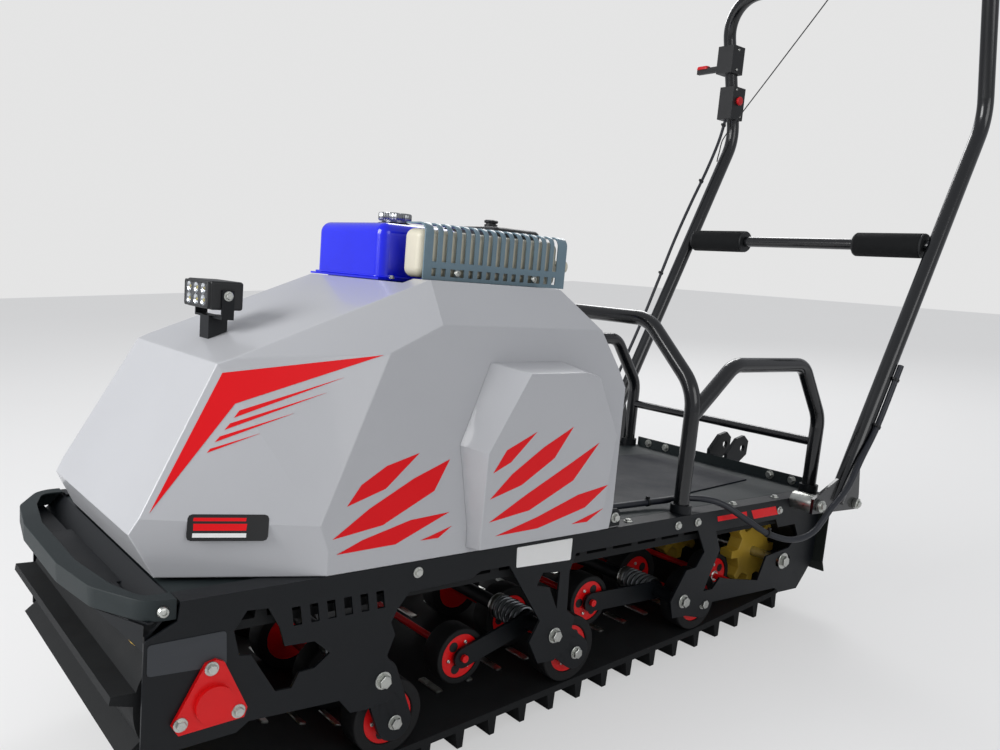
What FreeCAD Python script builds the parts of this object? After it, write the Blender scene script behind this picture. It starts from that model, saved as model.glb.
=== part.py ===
import FreeCAD, Part
import math
import os

# Tracked snow tug. Millimetres. +X is forward, +Y is to the machine's left, +Z is up.
# Pieces are drawn in the chassis frame, whose X zero is the middle of the side frames and whose
# rear suspension is settled, so the chassis is turned nose up by stance_deg before it is stored.
Vector = FreeCAD.Vector

# ---- driving dimensions ----
stance_deg = 4.45          # nose-up angle of the chassis over level ground
frame_width = 540          # over the outer faces of the side frames
frame_front = 707
frame_rear = -709
deck_height = 320          # top of the side frames
frame_plate = 4
flange_width = 34
rail_depth = 32            # depth of the side frame between its legs
pan_sheet = 3
fit_gap = 0.3              # clearance of a seated fit

drive_axle = (623, 187)    # x and z of the axles
idler_axle = (-594, 187)
wheel_radius = 75          # inner face of the belt on the toothed wheels
pivots = [(376, 155), (49, 155), (-278, 155)]
roller_front = (348, 83)
roller_middle = (-10, 111)
roller_rear = (-346, 137)
roller_radius = 57
return_rollers = [(182, 119), (-102, 161)]
tail_roller = (-468, 151)
return_radius = 46

track_width = 500
belt_thickness = 12
lug_height = 28
lug_pitch = 64

hood_wall = 3
hood_half_width = 270
hood_bottom = 320.3
hood_top = 704
panel_face = 293           # outer face of the raised side panels

bumper_nose = 757
bumper_height = 25
bumper_sheet = 4

arch_x = -264
arch_half_width = 250
arch_top = 661
rail_tube = 14
hoop_top = 589
hoop_rear = -700
cross_bar_height = 426
cross_bar_tube = 9

handle_half_width = 321
handle_tube = 16
handle_pivot = (-604, 317)
handle_lock = (-745, 308)
handle_foot = (-672, 318)
handle_bend = (-1068, 1135)
handle_top = (-975, 1475)
cross_tube_height = 852
cross_tube = 12.5
grip_radius = 26.5
grip_length = 147
pivot_bolt = 7

tank_box = (58, 275, -172, 36, 699, 787)
block_box = (22, 262, -165, 40, 690)
muffler_box = (-42, 248, 54, 104, 706, 781)
opening_box = (12, 287, -180, 121)


# ---- shape helpers ----
def box(x_low, x_high, y_low, y_high, z_low, z_high):
    return Part.makeBox(x_high - x_low, y_high - y_low, z_high - z_low, Vector(x_low, y_low, z_low))


def rod(start, end, radius):
    along = Vector(*end) - Vector(*start)
    return Part.makeCylinder(radius, along.Length, Vector(*start), along)


def rod_y(place, radius, y_low, y_high):
    return rod((place[0], y_low, place[1]), (place[0], y_high, place[1]), radius)


def ring_y(place, radius, bore, y_low, y_high):
    return rod_y(place, radius, y_low, y_high).cut(rod_y(place, bore, y_low - 1, y_high + 1))


def plate_xz(outline, y_low, y_high):
    """A flat plate from an outline of (x, z) points, between two values of y."""
    corners = [Vector(x, y_low, z) for x, z in outline]
    face = Part.Face(Part.makePolygon(corners + corners[:1]))
    return face.extrude(Vector(0, y_high - y_low, 0))


def plate_xy(outline, z_low, z_high):
    corners = [Vector(x, y, z_low) for x, y in outline]
    face = Part.Face(Part.makePolygon(corners + corners[:1]))
    return face.extrude(Vector(0, 0, z_high - z_low))


def mirrored(shape):
    return shape.mirror(Vector(0, 0, 0), Vector(0, 1, 0))


def both_sides(shape):
    return Part.makeCompound([shape, mirrored(shape)])


def bent_wire(corners, bend):
    """Straight runs through the corners, joined by tangent arcs of one radius, or one radius each."""
    corners = [Vector(*corner) for corner in corners]
    edges = []
    start = corners[0]
    for index in range(1, len(corners) - 1):
        radius = bend[index - 1] if isinstance(bend, list) else bend
        before = (corners[index - 1] - corners[index]).normalize()
        after = (corners[index + 1] - corners[index]).normalize()
        half = before.getAngle(after) / 2
        setback = radius / math.tan(half)
        enter = corners[index] + before * setback
        leave = corners[index] + after * setback
        inward = (before + after).normalize()
        middle = corners[index] + inward * (radius / math.sin(half) - radius)
        edges.append(Part.LineSegment(start, enter).toShape())
        edges.append(Part.Arc(enter, middle, leave).toShape())
        start = leave
    edges.append(Part.LineSegment(start, corners[-1]).toShape())
    return Part.Wire(edges)


def bent_tube(corners, radius, bend):
    path = bent_wire(corners, bend)
    start = Vector(*corners[0])
    along = Vector(*corners[1]) - start
    section = Part.Wire(Part.Circle(start, along, radius).toShape())
    return path.makePipeShell([section], True, False)


def cord_bends(corners):
    """Each bend of a cable is as large as its shorter run allows."""
    corners = [Vector(*corner) for corner in corners]
    radii = []
    for index in range(1, len(corners) - 1):
        before = corners[index - 1] - corners[index]
        after = corners[index + 1] - corners[index]
        half_turn = (math.pi - before.getAngle(after)) / 2
        radii.append(0.45 * min(before.Length, after.Length) / math.tan(half_turn))
    return radii


def cable(name, corners, radius):
    radii = cord_bends(corners)
    print(name, "bend radii", [round(value) for value in radii])
    return bent_tube(corners, radius, radii)


def cut_by_planes(solid, planes, inset):
    """Keeps what lies behind every plane. A plane is an outward normal and a point on it."""
    reach = 3000
    for normal, point in planes:
        outward = Vector(*normal).normalize()
        base = Vector(*point) - outward * inset
        turn = FreeCAD.Rotation(Vector(0, 0, 1), outward)
        waste = Part.makeBox(2 * reach, 2 * reach, reach, Vector(-reach, -reach, 0))
        waste.Placement = FreeCAD.Placement(base, turn)
        solid = solid.cut(waste)
    return solid


# ---- chassis ----
half_width = frame_width / 2
plate_inner = half_width - frame_plate


def slot_hole(place, length, radius):
    x, z = place
    low = half_width - 60
    high = half_width + 60
    hole = box(x - length / 2, x + length / 2, low, high, z - radius, z + radius)
    return hole.fuse([rod_y((x - length / 2, z), radius, low, high),
                      rod_y((x + length / 2, z), radius, low, high)])


def side_frame():
    """Laser-cut side plate with three hanger legs, its windows, and a flange turned in at the top."""
    under = deck_height - rail_depth
    outline = [
        (frame_rear, deck_height), (665, deck_height), (668, 297), (frame_front - 1, 277),
        (frame_front, 134), (590, 137), (574, 148), (444, 142), (426, 120), (400, 118), (366, 122),
        (350, 140), (356, 159), (372, 191), (361, 219), (369, 238), (360, 256), (342, 277),
        (235, 279), (215, under), (160, under), (85, 186), (104, 154), (81, 114), (47, 111),
        (16, 128), (7, 179), (26, 193), (29, 259), (18, under), (-296, under), (-324, 243),
        (-304, 216), (-277, 214), (-241, 160), (-251, 127), (-300, 124), (-336, 139), (-578, 131),
        (-594, 119), (-660, 117), (-689, 150), (frame_rear, 176)]
    plate = plate_xz(outline, plate_inner, half_width)
    gear_window = [(598, 271), (582, 294), (554, 292), (537, 263), (529, 237), (487, 235),
                   (463, 214), (485, 198), (507, 197), (517, 178), (539, 179), (574, 235), (590, 238)]
    rear_window = [(-352, 280), (-372, 240), (-352, 200), (-336, 165), (-363, 164), (-383, 184),
                   (-416, 176), (-511, 158), (-532, 205), (-610, 213), (-636, 238), (-620, 262),
                   (-560, 262), (-548, 280)]
    leg_window = [(99, 246), (70, 238), (50, 200), (50, 262), (88, 266)]
    for window in (gear_window, rear_window, leg_window):
        plate = plate.cut(plate_xz(window, plate_inner - 1, half_width + 1))
    for index in range(6):
        left = 381 + index * 25
        bar = [(left, 262), (left + 12, 262), (left + 16, 287), (left + 4, 287)]
        plate = plate.cut(plate_xz(bar, plate_inner - 1, half_width + 1))
    plate = plate.cut(rod_y(drive_axle, shaft_radius + fit_gap, 200, 300))
    plate = plate.cut(slot_hole(idler_axle, 30, idler_radius + fit_gap))
    flange = box(frame_rear, 665, half_width - flange_width, plate_inner,
                 deck_height - frame_plate, deck_height)
    return plate.fuse(flange).removeSplitter()


def floor_pan():
    """The sheet under the flanges: engine floor in front, load deck behind, upstand at the rear."""
    top = deck_height - frame_plate
    pan = box(frame_rear, 664, -plate_inner, plate_inner, top - pan_sheet, top)
    upstand = box(frame_rear, frame_rear + pan_sheet, -half_width + flange_width + 1,
                  half_width - flange_width - 1, top, deck_height + 22)
    return pan.fuse(upstand).removeSplitter()


def deck_panel():
    """Raised load deck between the flanges, level with them."""
    top = deck_height - frame_plate
    edge = half_width - flange_width - fit_gap
    return box(frame_rear + pan_sheet + fit_gap, -66, -edge, edge, top, deck_height)


def deck_mat():
    edge = 178
    narrow = 133
    outline = [(-72, -edge), (-72, edge), (-280, edge), (-640, narrow), (-640, -narrow), (-280, -edge)]
    return plate_xy(outline, deck_height, deck_height + 3)


def nose_points(inset):
    """Plan of the bumper's band, from the right frame round the nose to the left frame."""
    nose = bumper_nose - inset
    side = half_width - 3 - inset
    return [(668 + fit_gap, side), (700, side), (nose - 14, half_width - 82), (nose, half_width - 180)]


def nose_outline(inset):
    left = nose_points(inset)
    right = [(x, -y) for x, y in reversed(left)]
    return left + right


def rounded_nose(inset, z_low, z_high):
    slab = plate_xy(nose_outline(inset), z_low, z_high)
    bend = 45 - inset
    upright = [edge for edge in slab.Edges
               if abs(edge.tangentAt(edge.FirstParameter).z) > 0.9 and edge.BoundBox.XMin > 680]
    return slab.makeFillet(bend, upright)


def front_bumper():
    """Bent flat band round the nose with a lip turned in along its top."""
    top = deck_height + 3
    band = rounded_nose(0, top - bumper_height, top)
    band = band.cut(rounded_nose(bumper_sheet, top - bumper_height - 1, top - 3))
    return band.cut(rounded_nose(24, top - 4, top + 1)).removeSplitter()


def nose_gussets():
    """Folded plates that close the nose under the bumper, down to the side frames."""
    top = deck_height + 3 - bumper_height
    x_front = frame_front - 2
    outer = half_width - 8
    corner = half_width - 84
    inner = half_width - 150
    gusset = plate_xy([(692.5, outer), (700, outer), (738, corner), (742, inner), (692.5, inner)], top - 3, top)
    web = Part.makePolygon([Vector(704, outer, top - 3), Vector(738, corner, top - 3),
                            Vector(x_front, outer, top - 34), Vector(704, outer, top - 3)])
    web = Part.Face(web).extrude(Vector(0, -3, 0))
    left = gusset.fuse(web)
    return both_sides(left)


def nose_plate():
    """Sloping sheet behind the bumper, from the pan down between the side frames."""
    y = half_width - 3 - bumper_sheet - fit_gap
    slope = plate_xz([(664.3, 316), (667, 316), (703, 281), (703, 262), (700, 262), (700, 279)], -y, y)
    inner = half_width - 150 - fit_gap
    tray = box(686, 744, -inner, inner, 295, 298)
    return slope.fuse(tray).removeSplitter()


# ---- running gear ----
shaft_radius = 15
idler_radius = 10
axle_radius = 8
pivot_radius = 12.5
disc_radius = 40
return_disc = 36


def loop_circles(offset):
    """The wheels that the belt goes round, in order, with the belt's distance from each centre."""
    return [(idler_axle, wheel_radius + offset), (roller_rear, roller_radius + offset),
            (roller_front, roller_radius + offset), (drive_axle, wheel_radius + offset)]


def loop_normals(offset):
    """Angle of the outward normal of each straight run between neighbouring wheels."""
    circles = loop_circles(offset)
    normals = []
    for (centre, radius), (after, next_radius) in zip(circles, circles[1:] + circles[:1]):
        dx = after[0] - centre[0]
        dz = after[1] - centre[1]
        lean = math.asin((radius - next_radius) / math.hypot(dx, dz))
        normals.append(math.atan2(dz, dx) - math.pi / 2 + lean)
    return normals


def on_circle(circle, angle):
    centre, radius = circle
    return (centre[0] + radius * math.cos(angle), centre[1] + radius * math.sin(angle))


def loop_spans(offset):
    """Runs and arcs of the belt's loop: (start, end) points, or (circle, angle, angle) arcs."""
    circles = loop_circles(offset)
    normals = loop_normals(offset)
    spans = []
    for index, circle in enumerate(circles):
        incoming = normals[index - 1]
        outgoing = normals[index]
        while outgoing < incoming:
            outgoing += 2 * math.pi
        spans.append(("arc", circle, incoming, outgoing))
        following = circles[(index + 1) % len(circles)]
        spans.append(("run", on_circle(circle, outgoing), on_circle(following, outgoing), outgoing))
    return spans


def loop_face(offset):
    edges = []
    for kind, first, second, third in loop_spans(offset):
        if kind == "arc":
            places = [on_circle(first, angle) for angle in (second, (second + third) / 2, third)]
            points = [Vector(x, -track_width / 2, z) for x, z in places]
            edges.append(Part.Arc(*points).toShape())
        else:
            ends = [Vector(x, -track_width / 2, z) for x, z in (first, second)]
            edges.append(Part.LineSegment(*ends).toShape())
    return Part.Face(Part.Wire(edges))


def span_length(span):
    kind, first, second, third = span
    if kind == "arc":
        return first[1] * (third - second)
    return math.dist(first, second)


def loop_station(offset, distance):
    """Point of the loop and angle of its outward normal, at a distance along it."""
    for span in loop_spans(offset):
        length = span_length(span)
        kind, first, second, third = span
        if distance <= length:
            share = distance / length
            if kind == "arc":
                angle = second + share * (third - second)
                return on_circle(first, angle), angle
            place = (first[0] + share * (second[0] - first[0]), first[1] + share * (second[1] - first[1]))
            return place, third
        distance -= length
    return loop_station(offset, 0)


def track():
    """Rubber belt with a row of cross lugs, as one closed loop."""
    belt = loop_face(belt_thickness).cut(loop_face(fit_gap)).extrude(Vector(0, track_width, 0))
    total = sum(span_length(span) for span in loop_spans(belt_thickness))
    count = round(total / lug_pitch)
    lugs = []
    for index in range(count):
        (x, z), angle = loop_station(belt_thickness, index * total / count)
        out = (math.cos(angle), math.sin(angle))
        along = (-out[1], out[0])
        profile = []
        for side, height in ((-9, -2), (9, -2), (5, lug_height), (-5, lug_height)):
            profile.append((x + along[0] * side + out[0] * height, z + along[1] * side + out[1] * height))
        lugs.append(plate_xz(profile, -track_width / 2, track_width / 2))
    return belt.fuse(lugs).removeSplitter()


def toothed_wheel(place, bore, y_middle):
    """Nylon wheel with eight teeth that reach the inner face of the belt."""
    outline = []
    tip = wheel_radius - fit_gap
    for tooth in range(8):
        for share, radius in ((-0.22, 54), (-0.14, tip), (0.14, tip), (0.22, 54)):
            angle = (tooth + share) * math.pi / 4
            outline.append((place[0] + radius * math.cos(angle), place[1] + radius * math.sin(angle)))
    wheel = plate_xz(outline, y_middle - 15, y_middle + 15)
    return wheel.cut(rod_y(place, bore + fit_gap, y_middle - 16, y_middle + 16))


def toothed_wheels(place, bore):
    return Part.makeCompound([toothed_wheel(place, bore, y) for y in (-185, 0, 185)])


def drive_shaft():
    return rod_y(drive_axle, shaft_radius, -half_width - 8, half_width + 8)


def idler_shaft():
    return rod_y(idler_axle, idler_radius, -half_width - 6, half_width + 6)


def bearing_flanges():
    """Three-cornered bearing housing on each side frame, with a round boss over the shaft's end."""
    x, z = drive_axle
    outline = [(x - 2, z + 55), (x + 11, z + 52), (x + 50, z - 18), (x + 42, z - 31),
               (x - 40, z - 28), (x - 44, z - 16), (x - 12, z + 50)]
    flange = plate_xz(outline, half_width, half_width + 6)
    flange = flange.fuse(rod_y(drive_axle, 24, half_width + 5, half_width + 13))
    flange = flange.cut(rod_y(drive_axle, shaft_radius + fit_gap, half_width - 1, half_width + 8 + fit_gap))
    return both_sides(flange)


def pivot_tubes():
    reach = plate_inner - fit_gap
    return Part.makeCompound([rod_y(place, pivot_radius, -reach, reach) for place in pivots])


def link(first, second, width, y_low, y_high, bores):
    """Flat bar with round ends between two axes, bored for each."""
    dx = second[0] - first[0]
    dz = second[1] - first[1]
    length = math.hypot(dx, dz)
    across = (-dz / length * width, dx / length * width)
    outline = [(first[0] + across[0], first[1] + across[1]), (second[0] + across[0], second[1] + across[1]),
               (second[0] - across[0], second[1] - across[1]), (first[0] - across[0], first[1] - across[1])]
    bar = plate_xz(outline, y_low, y_high)
    bar = bar.fuse([rod_y(first, width, y_low, y_high), rod_y(second, width, y_low, y_high)])
    for place, bore in zip((first, second), bores):
        bar = bar.cut(rod_y(place, bore + fit_gap, y_low - 1, y_high + 1))
    return bar.removeSplitter()


def trailing_arms():
    arms = []
    for pivot, roller in zip(pivots, (roller_front, roller_middle, roller_rear)):
        arm = link(pivot, roller, 28, plate_inner - 9, plate_inner - 1, (pivot_radius, axle_radius))
        arms.extend([arm, mirrored(arm)])
    return Part.makeCompound(arms)


def spring_packs():
    """Coil springs round the pivot tubes, as their outer sleeves."""
    packs = []
    for pivot in pivots:
        pack = ring_y(pivot, 23, pivot_radius + fit_gap, 136, 198)
        packs.extend([pack, mirrored(pack)])
    return Part.makeCompound(packs)


road_rows = (-229, -80, 80, 229)
return_rows = (-180, 180)


def roller_axle(place, radius, rows, disc, reach):
    axle = rod_y(place, radius, -reach, reach)
    discs = [rod_y(place, disc, row - 17, row + 17) for row in rows]
    return axle.fuse(discs).removeSplitter()


def road_discs():
    reach = plate_inner - fit_gap
    places = (roller_front, roller_middle, roller_rear)
    return Part.makeCompound([roller_axle(place, axle_radius, road_rows, disc_radius, reach)
                              for place in places])


def roller_tyres(places, rows, disc, radius):
    tyres = []
    for place in places:
        for row in rows:
            tyres.append(ring_y(place, radius, disc + fit_gap / 2, row - 20, row + 20))
    return Part.makeCompound(tyres)


def return_discs():
    sets = [roller_axle(place, 6, return_rows, return_disc, 212) for place in return_rollers]
    sets.append(roller_axle(tail_roller, 6, return_rows, return_disc, plate_inner - fit_gap))
    return Part.makeCompound(sets)


def return_links():
    """Bars that carry the small rollers from the pivot tubes."""
    bars = []
    for pivot, roller in zip(pivots[1:], return_rollers):
        bar = link(pivot, roller, 17, 202, 207, (pivot_radius, 6))
        bars.extend([bar, mirrored(bar)])
    return Part.makeCompound(bars)


def tensioners():
    """Screw block that pulls the idler axle back along its slot."""
    x, z = idler_axle
    block = box(x - 62, x - 22, plate_inner - 22, plate_inner - fit_gap, z - 12, z + 12)
    screw = rod((x - 22 - 1, plate_inner - 11, z), (x - idler_radius - fit_gap, plate_inner - 11, z), 5)
    return both_sides(block.fuse(screw))


# ---- hood ----
def hood_planes():
    """Outward normal and a point for every face of the hood. The side faces come in pairs."""
    middle = [((0, 0, 1), (0, 0, hood_top)),
              ((206, 0, 112), (696, 0, 375)),
              ((53, 0, -28), (696, 0, 375)),
              ((121, 0, 309), (584, 0, 581)),
              ((-121, 0, 79), (-73, 0, 584)),
              ((-33, 0, 17), (-73, 0, 584)),
              ((-228, 0, -36), (-90, 0, 551))]
    side = [((0, 1, 0), (0, hood_half_width, 0)),
            ((0, 1, 0.14), (0, hood_half_width + 2, 340)),
            ((0.372, 0.875, 0.308), (498, hood_half_width, 358)),
            ((83, 189, 0), (479, hood_half_width - 2, 0)),
            ((0, 64, 70), (0, 229.5, 644)),
            ((298, 592, 748), (584, 160, 581))]
    other = [((x, -y, z), (px, -py, pz)) for (x, y, z), (px, py, pz) in side]
    return middle + side + other


def hood_outer():
    return cut_by_planes(box(-200, 800, -400, 400, hood_bottom, 800), hood_planes(), 0)


def hood_shell(outer):
    cavity = cut_by_planes(box(-200, 800, -400, 400, hood_bottom - 50, 800), hood_planes(), hood_wall)
    shell = outer.cut(cavity)
    x_low, x_high, y_low, y_high = opening_box
    return shell.cut(box(x_low, x_high, y_low, y_high, 600, 800))


def side_panel(outer):
    """Raised pressed panel on the hood's flank, a tray with bevelled front and top edges."""
    back = [(203, 593), (62, 595), (22, 585), (-30, 484), (-12, 328), (261, 328), (270, 479)]
    face = [(171, 583), (58, 584), (27, 577), (-24, 484), (-7, 330), (241, 330), (239, 471)]
    low = 236
    inside_back = inset_outline(back, hood_wall)
    inside_face = inset_outline(face, hood_wall)
    tray = loft_xz(back, low, face, panel_face)
    tray = tray.cut(loft_xz(inside_back, low - 1, inside_face, panel_face - hood_wall))
    solid = tray.cut(outer)
    return max(solid.Solids, key=lambda piece: piece.Volume)


def inset_outline(points, distance):
    """The outline moved inwards by one distance, for a convex outline."""
    moved = []
    count = len(points)
    middle = (sum(x for x, z in points) / count, sum(z for x, z in points) / count)
    for index in range(count):
        lines = []
        for start, end in ((points[index - 1], points[index]), (points[index], points[(index + 1) % count])):
            length = math.dist(start, end)
            normal = ((end[1] - start[1]) / length, (start[0] - end[0]) / length)
            if (middle[0] - start[0]) * normal[0] + (middle[1] - start[1]) * normal[1] < 0:
                normal = (-normal[0], -normal[1])
            lines.append((normal, start[0] * normal[0] + start[1] * normal[1] + distance))
        (a, b), first = lines[0]
        (c, d), second = lines[1]
        scale = a * d - b * c
        moved.append(((first * d - b * second) / scale, (a * second - first * c) / scale))
    return moved


def loft_xz(first, first_y, second, second_y):
    wires = []
    for outline, y in ((first, first_y), (second, second_y)):
        corners = [Vector(x, y, z) for x, z in outline]
        wires.append(Part.makePolygon(corners + corners[:1]))
    return Part.makeLoft(wires, True, True)


# ---- engine ----
def rounded_box(bounds, bend, keep):
    """A box with its edges rounded, apart from those round its lowest face when keep is bottom."""
    solid = box(*bounds)
    low = bounds[4]
    edges = [edge for edge in solid.Edges if keep != "bottom" or edge.BoundBox.ZMax > low + 1]
    return solid.makeFillet(bend, edges)


def engine_block():
    x_low, x_high, y_low, y_high, top = block_box
    return box(x_low, x_high, y_low, y_high, deck_height - frame_plate, top)


def fuel_tank():
    """Pressed tank with round corners, a top that falls towards the rear, and its joint flange."""
    x_low, x_high, y_low, y_high, bottom, top = tank_box
    body = box(x_low, x_high, y_low, y_high, bottom, top)
    fall = plate_xz([(x_low - 1, top - 17), (130, top), (130, top + 5), (x_low - 1, top + 5)],
                    y_low - 1, y_high + 1)
    body = body.cut(fall)
    edges = [edge for edge in body.Edges if edge.BoundBox.ZMax > bottom + 1]
    body = body.makeFillet(18, edges)
    flange = box(x_low - 4, x_high + 6, y_low - 6, y_high + 6, bottom - 1, bottom + 2)
    foot = box(x_low + 10, x_high - 20, y_low + 10, y_high - 8, block_box[4], bottom)
    return body.fuse([flange, foot]).removeSplitter()


cap_place = (190, -60)


def fuel_cap():
    x, y = cap_place
    base = tank_box[5]
    return rod((x, y, base), (x, y, base + 8), 22).fuse(rod((x, y, base + 8), (x, y, base + 21), 27))


def muffler():
    solid = rounded_box(muffler_box, 14, "all")
    x_low, x_high, y_low, y_high, z_low, z_high = muffler_box
    outlet = rod((x_low + 20, 82, 742), (x_low - 34, 82, 742), 11)
    port = box(60, 200, block_box[3], 92, 640, 690)
    neck = box(80, 180, 60, 92, 690, z_low + 16)
    return solid.fuse([outlet, port, neck]).removeSplitter()


def muffler_guard():
    """Bent sheet over the muffler with upright slots."""
    z_low, z_high, x_low, x_high = 704, 790, -52, 246
    outer = box(x_low, x_high, 58, 112, z_low, z_high)
    outer = outer.makeFillet(16, [edge for edge in outer.Edges
                                  if edge.BoundBox.YMin > 110 and edge.BoundBox.ZMin > z_high - 1])
    inner = box(x_low - 1, x_high + 1, 40, 109.5, z_low - 1, z_high - 2.5)
    inner = inner.makeFillet(14, [edge for edge in inner.Edges
                                  if edge.BoundBox.YMin > 109 and edge.BoundBox.ZMin > z_high - 4])
    guard = outer.cut(inner)
    slots = []
    for index in range(15):
        x = x_low + 21 + index * 18
        slots.append(box(x, x + 9, 84, 120, z_low + 28, z_high + 5))
        slots.append(box(x, x + 9, 105, 120, z_low + 6, z_low + 18))
    guard = guard.cut(slots)
    foot = box(100, 150, 104.2, 110, z_low + 19, z_low + 26)
    return guard.fuse(foot).removeSplitter()


def air_filter():
    body = rounded_box((-58, 50, -120, 40, 722, 801), 12, "all")
    knob = rod((-4, -40, 799), (-4, -40, 808), 12)
    neck = box(24, 48, -90, 20, 690, 740)
    return body.fuse([knob, neck]).removeSplitter()


lamp_middle = (527, 0, 661)
lamp_half = (24, 46, 20)


def work_light():
    x, y, z = lamp_middle
    a, b, c = lamp_half
    return rounded_box((x - a, x + a, y - b, y + b, z - c, z + c), 4, "all")


def slope_height(x):
    return 581 + (584 - x) * 121 / 309


def light_bracket():
    """Strap bent to a U under the lamp, with its foot on the hood's sloping face."""
    x, y, z = lamp_middle
    half = lamp_half[1] + fit_gap
    ears = [box(x - 9, x + 9, side - 1.5 + 1.5 * sign, side + 1.5 + 1.5 * sign, z - 30, z + 8)
            for side, sign in ((half, 1), (-half, -1))]
    bridge = box(x - 9, x + 9, -half - 3, half + 3, z - 33, z - 30)
    low = slope_height(x + 14) + 0.5
    post = box(x - 14, x + 14, -16, 16, low - 8, z - 30)
    cover = cut_by_planes(post, [((-121, 0, -309), (584, 0, 581.3))], 0)
    return bridge.fuse(ears + [cover]).removeSplitter()


# ---- rails and hitch ----
def front_arch():
    foot = deck_height + fit_gap
    side = arch_half_width
    corners = [(arch_x, side, foot), (arch_x, side, 545), (arch_x, 128, arch_top),
               (arch_x, -128, arch_top), (arch_x, -side, 545), (arch_x, -side, foot)]
    return bent_tube(corners, rail_tube, [90, 70, 70, 90])


def side_hoop(arch):
    side = arch_half_width
    corners = [(arch_x, side, 498), (-372, side, hoop_top), (-604, side, hoop_top),
               (hoop_rear + 12, side, 478), (hoop_rear + 12, side, deck_height + fit_gap)]
    hoop = bent_tube(corners, rail_tube, [55, 45, 60])
    return max(hoop.cut(arch).Solids, key=lambda piece: piece.Volume)


def cross_bar(hoops):
    x = hoop_rear + 12
    bar = rod((x, -arch_half_width, cross_bar_height), (x, arch_half_width, cross_bar_height), cross_bar_tube)
    return max(bar.cut(hoops).Solids, key=lambda piece: piece.Volume)


def post_feet():
    """Small plates that bolt the rails' posts to the side frames."""
    plates = []
    for x in (arch_x, hoop_rear + 12):
        foot = ring_z((x, arch_half_width), 19, rail_tube + fit_gap, deck_height + fit_gap, deck_height + 16)
        plates.extend([foot, mirrored(foot)])
    return Part.makeCompound(plates)


def ring_z(place, radius, bore, z_low, z_high):
    x, y = place
    outer = rod((x, y, z_low), (x, y, z_high), radius)
    return outer.cut(rod((x, y, z_low - 1), (x, y, z_high + 1), bore))


hitch_bore = 8
hitch_height = 362
hitch_reach = 59           # of the bore behind the side frames, clear of the handlebar's gussets


def tow_hitch():
    """Two upright ears on the rear edge, bored across for a drawbar pin."""
    ear = plate_xz([(frame_rear - 1, 300), (frame_rear - 12, 300), (frame_rear - 40, 322), (frame_rear - 78, 346),
                    (frame_rear - 80, 378), (frame_rear - 62, 392), (frame_rear - 34, 386),
                    (frame_rear - 1, 352)], 20, 28)
    back = box(frame_rear - 6, frame_rear - fit_gap, -28, 28, 300, 342)
    place = (frame_rear - hitch_reach, hitch_height)
    hitch = back.fuse([ear, mirrored(ear)])
    return hitch.cut(rod_y(place, hitch_bore, -40, 40)).removeSplitter()


def mud_flap():
    """Rubber sheet hung across the tail behind the belt."""
    x = frame_rear - fit_gap
    left = plate_xz([(x - 4, 312), (x, 312), (x, 172), (x - 10, 152), (x - 14, 152), (x - 4, 174)], 34, 292)
    return both_sides(left)


# ---- handlebar ----
def handle_path():
    side = handle_half_width
    return [(handle_foot[0], side, handle_foot[1]), (handle_bend[0], side, handle_bend[1]),
            (handle_top[0], side, handle_top[1]), (handle_top[0], -side, handle_top[1]),
            (handle_bend[0], -side, handle_bend[1]), (handle_foot[0], -side, handle_foot[1])]


def handle_x(height):
    """X of the side tube's centre line at a height below its bend."""
    share = (height - handle_foot[1]) / (handle_bend[1] - handle_foot[1])
    return handle_foot[0] + share * (handle_bend[0] - handle_foot[0])


def handlebar():
    """Bent tube with its cross tube and a gusset plate at each foot, bored for the pivot bolt."""
    bar = bent_tube(handle_path(), handle_tube, [120, 95, 95, 120])
    x = handle_x(cross_tube_height)
    side = handle_half_width
    cross = rod((x, -side, cross_tube_height), (x, side, cross_tube_height), cross_tube)
    gusset = plate_xz([(handle_pivot[0] + 20, handle_pivot[1] + 14), (handle_pivot[0] + 20, handle_pivot[1] - 16),
                       (handle_lock[0] - 16, handle_lock[1] - 14), (handle_lock[0] - 14, handle_lock[1] + 16),
                       (handle_x(430) - 12, 430), (handle_x(430) + 14, 430), (handle_x(370) + 30, 366)],
                      side - 3, side + 3)
    gusset = gusset.cut(rod_y(handle_pivot, pivot_bolt + fit_gap / 4, side - 10, side + 10))
    gusset = gusset.cut(rod_y(handle_lock, 6, side - 10, side + 10))
    return bar.fuse([cross, gusset, mirrored(gusset)]).removeSplitter()


def handle_bearings():
    """Spacer blocks on the side frames, each with the bolt that the handlebar turns on."""
    side = handle_half_width
    spacer = rod_y(handle_pivot, 18, half_width + fit_gap, side - 3 - fit_gap)
    bolt = rod_y(handle_pivot, pivot_bolt, side - 4, side + 3 + fit_gap)
    head = rod_y(handle_pivot, 12, side + 3 + fit_gap, side + 11)
    return both_sides(spacer.fuse([bolt, head]))


def lock_bolts():
    side = handle_half_width
    bolt = rod_y(handle_lock, 6 - fit_gap, side - 8, side + 3 + fit_gap)
    return both_sides(bolt.fuse(rod_y(handle_lock, 11, side + 3 + fit_gap, side + 11)))


def foam_grips():
    x = handle_x(cross_tube_height)
    place = (x, cross_tube_height)
    low = handle_half_width - handle_tube - 8 - grip_length
    return both_sides(ring_y(place, grip_radius, cross_tube + fit_gap, low, low + grip_length))


def upper_x(height):
    share = (height - handle_bend[1]) / (handle_top[1] - handle_bend[1])
    return handle_bend[0] + share * (handle_top[0] - handle_bend[0])


def throttle_lever():
    """Clamp body on the right post with its thumb lever reaching outwards."""
    z = 1330
    x = upper_x(z)
    y = -handle_half_width
    clamp = box(x - 24, x + 26, y - 24, y + 24, z - 34, z + 36)
    bore = rod((upper_x(1200), y, 1200), (upper_x(1400), y, 1400), handle_tube + fit_gap)
    lever = box(x + 8, x + 20, y - 92, y - 23, z - 26, z - 12)
    return clamp.cut(bore).fuse(lever)


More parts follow.
